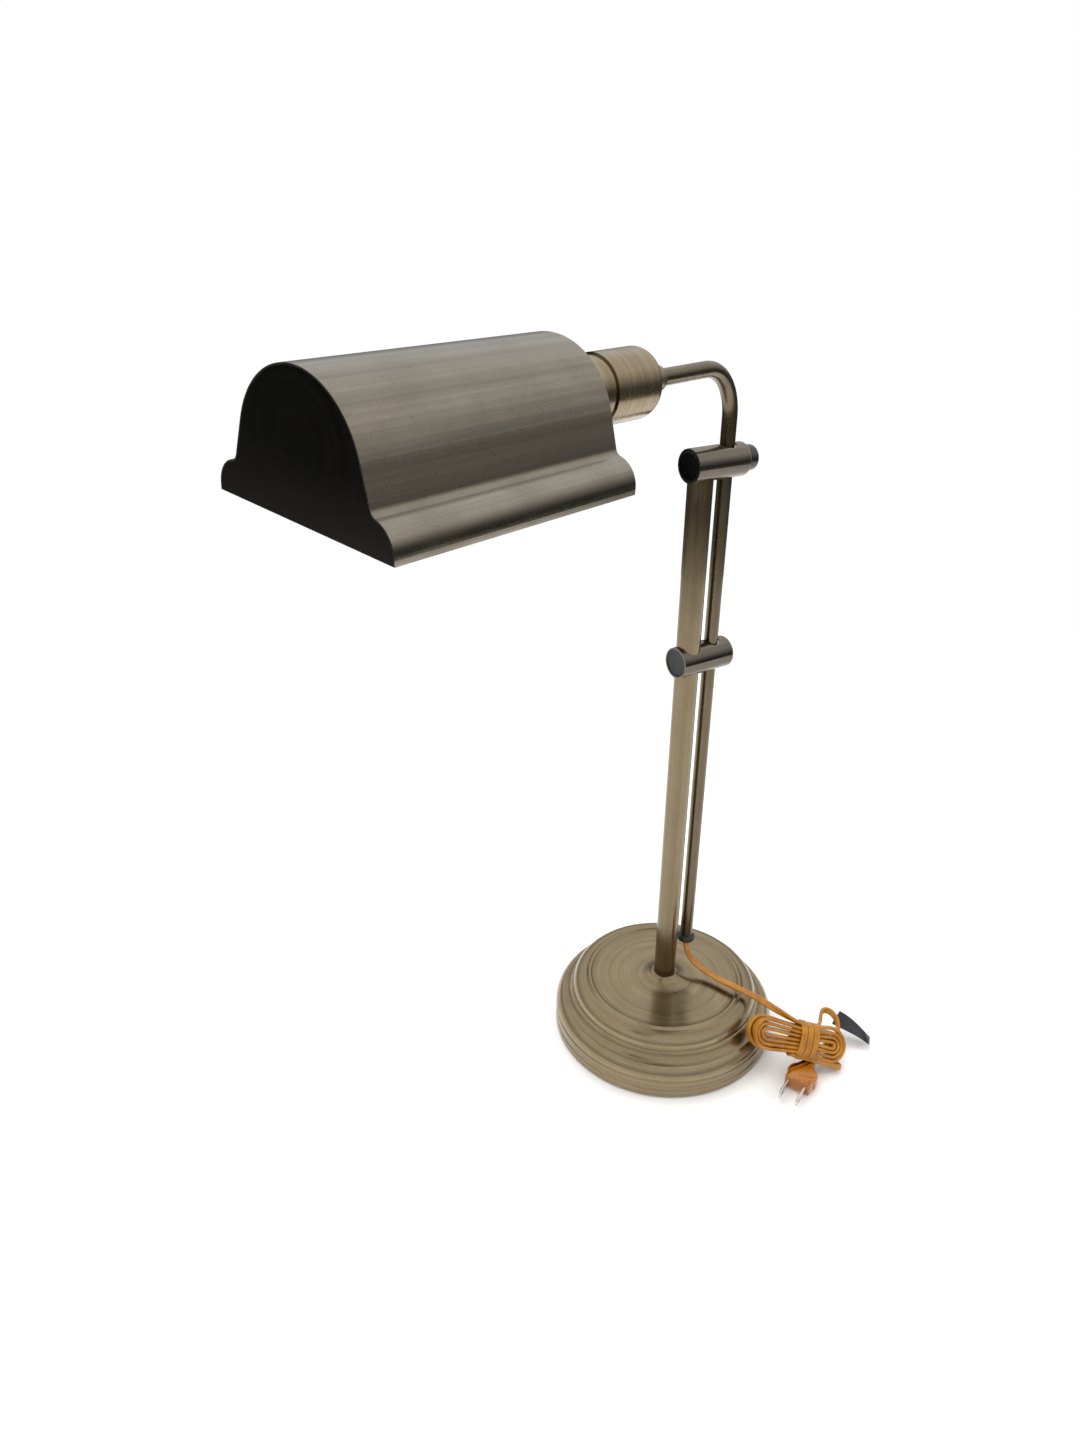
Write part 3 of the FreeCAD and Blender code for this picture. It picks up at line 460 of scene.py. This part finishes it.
# %% Route of the cord
CORD_WIDTH = 5.0 * mm
CORD_THICKNESS = 2.6 * mm
CORD_WEB = 0.85 * mm
HANK_LEFT_TIP = Vector((0.0165, -0.0755, 0.0415))
HANK_RIGHT_TIP = Vector((0.0870, -0.1125, 0.0140))
HANK_FAN = math.radians(54)
NESTED_TURNS = 4
BACK_TURNS = 3
FOLD_START = 27.0 * mm
FOLD_INNER = 2.4 * mm
TURN_PITCH = 3.3 * mm
PINCH_PITCH = 2.7 * mm
LAYER_PITCH = 5.4 * mm
WRAP_CENTRE = 8.0 * mm
WRAPS = 3
WRAP_HEIGHT = 13.2 * mm
WRAP_DEPTH = 7.4 * mm
RUN_SPREADS = ((-27, 1.0), (-18, 0.82), (-8, 0.38), (2, 0.04), (10, 0.0), (18, 0.42), (27, 1.0))

hank_centre = (HANK_LEFT_TIP + HANK_RIGHT_TIP) / 2
hank_along = (HANK_RIGHT_TIP - HANK_LEFT_TIP).normalized()
hank_level = Vector((-hank_along.y, hank_along.x, 0)).normalized()
hank_up = hank_along.cross(hank_level)
hank_rise = hank_level * math.cos(HANK_FAN) + hank_up * math.sin(HANK_FAN)
hank_front = hank_rise.cross(hank_along) * -1
if hank_front.y > 0:
    hank_front = -hank_front
chance = random.Random(7)
UP = Vector((0, 0, 1))
route = []


def lay(place, wide):
    """Add a route point, and the way the flex's width lies there."""
    route.append((Vector(place), Vector(wide).normalized()))


def in_hank(along, rise, front):
    return hank_centre + hank_along * along + hank_rise * rise + hank_front * front


for place, wide in [
    ((19.4, 0.0, 72.5), (1, 0, 0)),
    ((19.4, -0.4, 66.5), (1, 0.1, 0)),
    ((19.8, -2.6, 58.5), (1, 0.1, 0)),
    ((22.0, -8.5, 52.0), (1, 0.3, 0)),
    ((25.6, -18.5, 48.6), (1, 0.35, 0)),
    ((29.4, -32.0, 47.9), (1, 0.35, 0.1)),
    ((33.8, -46.5, 48.6), (1, 0.35, 0.1)),
    ((39.6, -58.5, 47.6), (1, 0.5, 0.3)),
    ((45.0, -68.0, 44.0), (0.6, 0.3, 0.6)),
]:
    lay(Vector(place) * mm, wide)


def turn_half(number):
    """Nest and layer of the flex after so many half turns, from the outside in and out again."""
    whole = number / 2
    if whole < NESTED_TURNS:
        return NESTED_TURNS - 1 - whole + 0.25, 0.5
    return whole - NESTED_TURNS + 0.25, -0.5


def run(sign, nest, layer, heading):
    """One run of the hank at nest and layer, on the upper (1) or lower (-1) side."""
    fold = FOLD_INNER + TURN_PITCH * nest
    pinch = PINCH_PITCH * (nest + 0.5)
    front = LAYER_PITCH * layer
    for along, spread in RUN_SPREADS[::heading]:
        rise = pinch + (fold - pinch) * spread
        shake = chance.uniform(-0.35, 0.35) * spread
        lay(in_hank(along * mm, sign * (rise + shake * mm), front + chance.uniform(-0.5, 0.5) * mm * spread),
            hank_front)


def fold(side, nest_in, nest_out, layer_in, layer_out, start):
    """The bend at one end of the hank, from start (1 upper, -1 lower) to the other side."""
    reach = chance.uniform(0.92, 1.12)
    for share in (0.18, 0.5, 0.82):
        nest = nest_in + (nest_out - nest_in) * share
        layer = layer_in + (layer_out - layer_in) * share
        size = FOLD_INNER + TURN_PITCH * nest
        angle = math.pi * share
        along = FOLD_START + size * reach * math.sin(angle)
        lay(in_hank(side * along, start * size * math.cos(angle), LAYER_PITCH * layer), hank_front)


half_turns = 2 * (NESTED_TURNS + BACK_TURNS)
nest, layer = turn_half(0)
for along, rise in ((-4, 11.4), (6, 10.6), (17, 11.6), (26, 13.6)):
    lay(in_hank(along * mm, rise * mm, LAYER_PITCH * layer), hank_front)
for number in range(half_turns):
    side = 1 if number % 2 == 0 else -1
    nest_next, layer_next = turn_half(number + 1)
    fold(side, nest, nest_next, layer, layer_next, side)
    nest, layer = nest_next, layer_next
    if number < half_turns - 1:
        run(-side, nest, layer, -side)
print("half turns", half_turns, "points", len(route))

# %% Tag loop, wraps and the lead to the plug
PLUG_REAR = Vector((59.0, -104.0, 7.0)) * mm
PLUG_HEADING = math.radians(202)
plug_across = Vector((-math.sin(PLUG_HEADING), math.cos(PLUG_HEADING), 0))

for along, rise in ((-24, 11.0), (-14, 9.6), (-4, 9.0), (7, 9.0)):
    lay(in_hank(along * mm, rise * mm, -LAYER_PITCH / 2), hank_front)
for place in ((80.0, -91.5, 22.0), (88.5, -82.5, 22.5), (97.0, -77.0, 21.0), (103.5, -80.5, 18.5),
              (102.5, -89.5, 15.5), (94.0, -97.5, 13.5), (84.0, -101.5, 12.5), (75.0, -99.0, 12.0)):
    lay(Vector(place) * mm, (0.35, 0.2, 0.9))
for step in range(12 * WRAPS + 2):
    angle = math.tau * step / 12 - math.pi / 2
    along = WRAP_CENTRE + CORD_WIDTH * (WRAPS / 2 - 0.5 - step / 12)
    slant = 1.5 * mm * math.sin(angle)
    rise = WRAP_HEIGHT * (1 + 0.04 * math.sin(step * 1.7)) * math.sin(angle)
    lay(in_hank(along + slant, rise, WRAP_DEPTH * math.cos(angle)), hank_along)
for place in ((62.5, -109.5, 12.5), (70.0, -114.5, 8.5), (76.0, -117.5, 5.2), (79.0, -115.0, 3.8),
              (77.0, -109.0, 3.8), (71.0, -103.5, 5.0), (65.5, -101.5, 6.4)):
    lay(Vector(place) * mm, (0, 0, 1))
lay(PLUG_REAR + plug_across.cross(UP) * 1 * mm, plug_across)
print("route points", len(route))


# %% Splines and the swept flex
def spline_points(name, places):
    """Points along an open NURBS spline of order 4 led by a list of control points."""
    data = bpy.data.curves.new(name, "CURVE")
    data.dimensions = "3D"
    line = data.splines.new("NURBS")
    line.points.add(len(places) - 1)
    for point, place in zip(line.points, places):
        point.co = (*place, 1)
    line.order_u = 4
    line.use_endpoint_u = True
    line.resolution_u = 8
    holder = bpy.data.objects.new(name, data)
    bpy.context.scene.collection.objects.link(holder)
    bpy.context.view_layer.update()
    mesh = bpy.data.meshes.new_from_object(holder)
    points = [vertex.co.copy() for vertex in mesh.vertices]
    bpy.data.objects.remove(holder)
    bpy.data.curves.remove(data)
    return points


def flex_section():
    """Half width and half thickness of the twin flex round its section."""
    lobe = CORD_THICKNESS / 2
    centre = CORD_WIDTH / 2 - lobe
    outline = []
    for step in range(20):
        angle = math.tau * step / 20
        across = CORD_WIDTH / 2 * math.cos(angle)
        height = math.sqrt(max(lobe ** 2 - (abs(across) - centre) ** 2, 0))
        if abs(across) < centre:
            height = max(height, CORD_WEB)
        outline.append((across, math.copysign(height, math.sin(angle))))
    return outline


def swept_flex(line, edge, section):
    """Mesh tube along a line, its width turned towards the edge line."""
    flex = bmesh.new()
    rings = []
    for index, place in enumerate(line):
        after = line[min(index + 1, len(line) - 1)]
        before = line[max(index - 1, 0)]
        heading = (after - before).normalized()
        wide = edge[index] - place
        wide = (wide - heading * wide.dot(heading)).normalized()
        thick = heading.cross(wide)
        rings.append([flex.verts.new(place + wide * a + thick * b) for a, b in section])
    count = len(section)
    for low, high in zip(rings, rings[1:]):
        for index in range(count):
            following = (index + 1) % count
            flex.faces.new((low[index], low[following], high[following], high[index]))
    flex.faces.new(reversed(rings[0]))
    flex.faces.new(rings[-1])
    bmesh.ops.recalc_face_normals(flex, faces=flex.faces)
    return flex


cord_line = spline_points("cord_line", [place for place, wide in route])
cord_edge = spline_points("cord_edge", [place + wide * CORD_WIDTH / 2 for place, wide in route])


def bend_radius(a, b, c):
    """Radius of the circle through three points."""
    twice_area = (b - a).cross(c - a).length
    return (b - a).length * (c - b).length * (c - a).length / max(2 * twice_area, 1e-12)


tightest = min(bend_radius(*trio) for trio in zip(cord_line, cord_line[1:], cord_line[2:]))
print("tightest bend", round(tightest / mm, 2), "mm")

flex = piece("twin_flex", swept_flex(cord_line, cord_edge, flex_section()), None,
             paints["amber_flex"])
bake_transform(flex)
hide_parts("mains_cord", "cord_hank", "plug_lead", "tag_loop")

# %% [markdown]
# ## Turned pieces
# The base cover is spun from sheet over a form, with two grooves rolled into its side. Caps,
# plugs, knob and collar are turned on a lathe. Each is an outline of (radius, height) corners with
# its own rounding at every corner, spun round its axis, as the real ones are.

# %% Spinning
def spun(outline, steps=128):
    """A closed outline of (radius, height, rounding) in millimetres, spun about +Z."""
    shape = bmesh.new()
    corners = [shape.verts.new((radius * mm, 0, height * mm)) for radius, height, rounding in outline]
    for index, corner in enumerate(corners):
        after = corners[(index + 1) % len(corners)]
        if corner.co.x > 0 or after.co.x > 0:
            shape.edges.new((corner, after))
    for corner, (radius, height, rounding) in zip(corners, outline):
        if rounding:
            bmesh.ops.bevel(shape, geom=[corner], offset=rounding * mm, segments=4 + int(rounding),
                            profile=0.5, affect="VERTICES", material=-1)
    bmesh.ops.spin(shape, geom=shape.verts[:] + shape.edges[:], axis=(0, 0, 1), cent=(0, 0, 0),
                   angle=math.tau, steps=steps, use_merge=True)
    bmesh.ops.remove_doubles(shape, verts=shape.verts, dist=1e-7)
    bmesh.ops.recalc_face_normals(shape, faces=shape.faces)
    return shape


def span(node, axis):
    """Lowest and highest place of a CAD node along a row axis, in millimetres."""
    low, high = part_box(node)
    return low[axis] / mm, high[axis] / mm


def reach(node):
    """First and last place of a CAD node along the arm from the rod's axis, and its largest radius."""
    back = head_space.inverted()
    places = [back @ vertex.co for vertex in frame["nodes"][node].data.vertices]
    along = [place.x / mm for place in places]
    return min(along), max(along), max(place.yz.length for place in places) / mm


side = span("base_cover", 0)[1]
cover_top = span("base_cover", 2)[1]
column = span("column_tube", 0)[1]
FLARE_RISE = 5.5
disc = cover_top - FLARE_RISE
cover = spun([
    (side - 0.5, 1.0, 0.3), (side, 1.7, 0.3),
    (side, 6.5, 0.3), (side - 0.9, 7.4, 0.35), (side, 8.3, 0.3),
    (side, 14.7, 0.3), (side - 1.0, 15.7, 0.4), (side - 0.1, 16.7, 0.3),
    (side, 22.9, 5.4), (78.5, 26.0, 0.45), (72.6, 26.0, 5.2), (71.1, 31.1, 0.3),
    (72.0, 31.7, 0.4), (71.9, 32.7, 0.4), (70.5, 33.0, 0.25),
    (70.5, 43.5, 9.2), (60.8, 43.5, 0.25), (60.2, 42.8, 0.25), (59.5, 43.4, 0.25),
    (58.4, 44.5, 0.55), (57.0, 44.5, 0.55), (55.5, disc, 0.7),
    (34.0, disc - 0.1, 0), (23.2, disc, 0.35), (15.0, disc + 0.2, 6.8),
    (column + 1.4, cover_top - 0.3, 0.4), (column + 0.15, cover_top, 0.2),
    (column + 0.15, disc - 1.3, 0), (58.0, disc - 1.3, 0), (69.2, 36.0, 0), (69.2, 31.0, 0),
    (77.0, 24.8, 0), (side - 1.3, 17.0, 0), (side - 1.3, 1.0, 0),
], 192)
base = piece("spun_base", cover, "stand", paints["spun_brass"])
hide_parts("base_cover")

# %% Caps, plugs and knob on the cross tubes
for which in ("upper", "lower"):
    low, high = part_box(which + "_end_cap")
    bore = (high.z - low.z) / 2 / mm
    level = Matrix.Translation((low.x, 0, (low.z + high.z) / 2)) @ outwards
    # Painted reflection: the upper cap near-black, the lower cap lighter, though both are one finish.
    dark = paints["cap_dark_reflection"] if which == "upper" else paints["cap_floor_reflection"]
    disc_cap = spun([(0, 0.35, 0), (bore - 0.9, 0.3, 0.3), (bore - 0.5, 0.0, 0.2), (bore - 0.1, 0.1, 0.15),
                     (bore, 0.4, 0), (bore, 1.5, 0), (0, 1.5, 0)], 96)
    cap = piece(which + "_cap", disc_cap, "stand", dark, place=level)
    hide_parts(which + "_end_cap")
    start, end = span(which + "_end_plug", 0)
    flange = (span(which + "_end_plug", 2)[1] - span(which + "_end_plug", 2)[0]) / 2
    hole = 2.6 if which == "upper" else 0
    lip = end - start
    level = Matrix.Translation((start * mm, 0, (low.z + high.z) / 2)) @ outwards
    stopper = [(hole, 0, 0), (bore, 0, 0), (bore, lip - 1.5, 0), (flange - 0.05, lip - 1.5, 0.15),
               (flange - 0.05, lip, 1.15), (hole, lip, 0)]
    plug = piece(which + "_plug", spun(stopper, 96), "stand", paints["spun_brass"], place=level)
    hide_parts(which + "_end_plug")

start, end = span("clamp_knob", 0)
grip = (span("clamp_knob", 2)[1] - span("clamp_knob", 2)[0]) / 2
centre = sum(span("clamp_knob", 2)) / 2
level = Matrix.Translation((end * mm, 0, centre * mm)) @ outwards
knob_shape = spun([(0, start - end, 0), (2.4, start - end, 0), (2.4, -8.2, 0.1), (grip - 1.0, -8.2, 0.3),
                   (grip - 0.5, -7.7, 0.25), (grip - 0.5, -7.0, 0.2), (grip, -6.6, 0.25), (grip, -0.9, 0.7),
                   (grip - 1.6, 0.0, 0.8), (0, 0.0, 0)], 96)
knob = piece("knob", knob_shape, "clamp_knob", paints["knob_slate"], place=level)
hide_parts("clamp_knob")

# %% Collar, bush and switch knob
start, end, girth = reach("arm_collar")
bore = 4.7
collar_shape = spun([(bore, start, 0), (5.4, start, 0.5), (girth, start + 3.2, 2.2), (girth, end - 4.2, 0.7),
                     (girth - 0.8, end - 3.4, 0.3), (girth - 0.8, end - 2.4, 0.3),
                     (girth + 0.5, end - 2.2, 0.3), (girth + 0.5, end, 0.3), (bore, end, 0)], 96)
collar = piece("collar", collar_shape, "arm", paints["spun_brass"], place=arm_space @ outwards)
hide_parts("arm_collar")

low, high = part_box("rod_end_bush")
bush_radius = (high.x - low.x) / 2 / mm
rod_radius = 4.71
level = Matrix.Translation(((low.x + high.x) / 2, (low.y + high.y) / 2, low.z))
bush_shape = spun([(2.6, 0, 0.3), (4.6, 0, 0.8), (bush_radius, 1.7, 1.3), (bush_radius, 4.4, 1.2),
                   (rod_radius + 0.5, 6.0, 0.5), (rod_radius, 6.0, 0), (rod_radius, 2.0, 0),
                   (2.6, 2.0, 0)], 64)
bush = piece("bush", bush_shape, "rod_carriage", paints["rubber"], place=level)
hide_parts("rod_end_bush")

turn_place = Vector(joints["switch_turn"]["pos_m"])
turn_way = Vector(joints["switch_turn"]["axis"])
steering = Vector((0, 0, 1)).rotation_difference(turn_way).to_matrix().to_4x4()
switch_points = frame["nodes"]["switch_knob"].data.vertices
knob_places = [(vertex.co - turn_place).dot(turn_way) for vertex in switch_points]
switch_start = min(knob_places)
switch_length = max(knob_places) - switch_start
switch_shape = bmesh.new()
bmesh.ops.create_cone(switch_shape, cap_ends=True, cap_tris=False, segments=32, radius1=4.5 * mm,
                      radius2=4.2 * mm, depth=switch_length)
flutes = [face for face in switch_shape.faces if len(face.verts) == 4][::2]
bmesh.ops.inset_individual(switch_shape, faces=flutes, thickness=0.12 * mm, depth=-0.25 * mm)
ends = [edge for edge in switch_shape.edges if any(len(face.verts) == 32 for face in edge.link_faces)]
bmesh.ops.bevel(switch_shape, geom=ends, offset=0.35 * mm, segments=3, profile=0.5,
                affect="EDGES", material=-1)
bmesh.ops.recalc_face_normals(switch_shape, faces=switch_shape.faces)
level = Matrix.Translation(turn_place + turn_way * (switch_start + switch_length / 2)) @ steering
switch = piece("switch_grip", switch_shape, "switch", paints["black_plastic"], place=level)
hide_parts("switch_knob")

# %% [markdown]
# ## Plug, blades and tag
# The plug is moulded round the flex, with a waist, two shoulders for the fingers and a narrower
# nose. The blades are stamped brass strip, nickel plated, and each hole in them is a black disc,
# painted shade. The tag is a blank strip of black film, folded over the flex and creased.

# %% Plug, blades and tag
PLUG_LENGTH = 26.0
PLUG_HALF = 11.0
plug_place = Matrix.Translation(PLUG_REAR) @ turn(PLUG_HEADING, "Z")


def plate(outline, low, high, rounding, segments=3):
    """A flat outline of (x, y, rounding) in millimetres, extruded from low to high, edges rounded."""
    shape = bmesh.new()
    corners = [shape.verts.new((x * mm, y * mm, low * mm)) for x, y, turned in outline]
    for corner, after in zip(corners, corners[1:] + corners[:1]):
        shape.edges.new((corner, after))
    for corner, (x, y, turned) in zip(corners, outline):
        if turned:
            bmesh.ops.bevel(shape, geom=[corner], offset=turned * mm, segments=5, profile=0.5,
                            affect="VERTICES", material=-1)
    flat = bmesh.ops.contextual_create(shape, geom=shape.verts[:] + shape.edges[:])["faces"]
    grown = bmesh.ops.extrude_face_region(shape, geom=flat)
    raised = [item for item in grown["geom"] if isinstance(item, bmesh.types.BMVert)]
    bmesh.ops.translate(shape, verts=raised, vec=(0, 0, (high - low) * mm))
    bmesh.ops.recalc_face_normals(shape, faces=shape.faces)
    if rounding:
        rims = [edge for edge in shape.edges if edge.calc_face_angle(0) > math.radians(60)
                and abs(edge.verts[0].co.z - edge.verts[1].co.z) < 1e-6]
        bmesh.ops.bevel(shape, geom=rims, offset=rounding * mm, segments=segments, profile=0.5,
                        affect="EDGES", material=-1)
    return shape


half_plan = [(0.0, 3.9, 0.8), (6.0, 4.2, 1.0), (8.6, 6.4, 1.0), (9.4, 8.2, 1.2), (12.5, 10.8, 2.2),
             (18.2, PLUG_HALF, 0.8), (18.6, 9.9, 0.5), (PLUG_LENGTH, 9.4, 1.3)]
plan = half_plan + [(x, -y, turned) for x, y, turned in reversed(half_plan)]
plug_shape = plate(plan, -5.6, 5.6, 1.9, 4)
plug = piece("moulded_plug", plug_shape, "stand", paints["amber_plug"], place=plug_place)
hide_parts("plug_body")

blade_shape = bmesh.new()
for way in (-1, 1):
    strip = plate([(PLUG_LENGTH - 1, -3.15, 0), (PLUG_LENGTH + 15.9, -3.15, 1.6),
                   (PLUG_LENGTH + 15.9, 3.15, 1.6), (PLUG_LENGTH - 1, 3.15, 0)], -0.75, 0.75, 0.15, 2)
    # Painted shade: a black disc stands in each blade's hole, no hole is cut.
    hole = bmesh.new()
    bmesh.ops.create_cone(hole, cap_ends=True, segments=24, radius1=1.6 * mm, radius2=1.6 * mm,
                          depth=1.56 * mm)
    bmesh.ops.translate(hole, verts=hole.verts, vec=((PLUG_LENGTH + 12) * mm, 0, 0))
    for part in (strip, hole):
        bmesh.ops.rotate(part, verts=part.verts, cent=(0, 0, 0), matrix=turn(math.pi / 2, "X").to_3x3())
        bmesh.ops.translate(part, verts=part.verts, vec=(0, way * 6.35 * mm, 0))
    for part, index in ((strip, 0), (hole, 1)):
        for face in part.faces:
            face.material_index = index
        scratch = bpy.data.meshes.new("scratch")
        part.to_mesh(scratch)
        blade_shape.from_mesh(scratch)
        part.free()
        bpy.data.meshes.remove(scratch)
blades = piece("blades", blade_shape, "stand", paints["nickel"], place=plug_place)
# The second material paints the discs in the holes black: painted shade.
blades.data.materials.append(paints["black_plastic"])
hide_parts("plug_blades")

tag_shape = bmesh.new()
bmesh.ops.create_grid(tag_shape, x_segments=30, y_segments=6, size=1)
for vertex in tag_shape.verts:
    along = (vertex.co.x + 1) * 15 * mm
    across = vertex.co.y * 5.8 * mm
    twist = math.radians(62) * (1 - along / (30 * mm)) ** 1.5 - math.radians(14)
    sag = 1.6 * mm * math.sin(math.pi * along / (30 * mm))
    vertex.co = (along, across * math.cos(twist), across * math.sin(twist) + 0.6 * mm + sag)
bmesh.ops.recalc_face_normals(tag_shape, faces=tag_shape.faces)
bmesh.ops.solidify(tag_shape, geom=tag_shape.faces[:], thickness=0.45 * mm)
tag_place = (Matrix.Translation(Vector((102.6, -86.0, 16.5)) * mm) @ turn(math.radians(-59), "Z")
             @ turn(math.radians(24), "Y"))
tag = piece("folded_tag", tag_shape, "stand", paints["black_plastic"], place=tag_place)
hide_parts("cord_tag")

# %% [markdown]
# ## The pieces that keep their CAD shape
# Tubes, shade, plates and the parts inside keep their CAD shape. A fine bevel breaks the sharp
# edges of those that show, because a real edge is never quite sharp and catches the light.

# %% Paint and bevel the CAD pieces
looks = {
    "upright_brass": ("column_tube",),
    "arm_brass": ("slide_rod",),
    "cross_brass": ("upper_cross_tube", "lower_cross_tube"),
    "head_spun": ("socket_cup", "neck_ring"),
    "shade_outside": ("shade_shell",),
    # The end plates carry a painted dark reflection.
    "plate_dark_reflection": ("near_end_plate", "far_end_plate"),
    "raw_brass": ("column_plug", "arm_nut", "screw_shell", "centre_contact", "switch_stem", "shade_ring"),
    "zinc": ("base_washer", "base_bolt", "swivel_washer"),
    "cast_iron": ("base_weight",),
    "felt": ("felt_pad",),
    "nylon": ("upper_guide_block", "lower_guide_block", "clamp_pad"),
    "phenolic": ("socket_body",),
    "glass": ("bulb_glass",),
    "aluminium": ("bulb_cap",),
    "amber_flex": ("inner_lead",),
}
BEVELLED = {"upper_cross_tube": 0.35, "lower_cross_tube": 0.35, "shade_shell": 0.22, "near_end_plate": 0.15,
            "socket_cup": 0.25, "neck_ring": 0.2, "shade_ring": 0.3, "socket_body": 0.3}
for paint, nodes in looks.items():
    for node in nodes:
        shown = frame["nodes"][node]
        for slot in shown.material_slots:
            slot.link = "OBJECT"
            slot.material = paints[paint]
        if node in BEVELLED:
            edge = shown.modifiers.new("edge", "BEVEL")
            edge.width = BEVELLED[node] * mm
            edge.segments = 2
            edge.limit_method = "ANGLE"
            edge.angle_limit = math.radians(50)
            edge.harden_normals = False
print("painted", sum(len(nodes) for nodes in looks.values()), "CAD pieces")
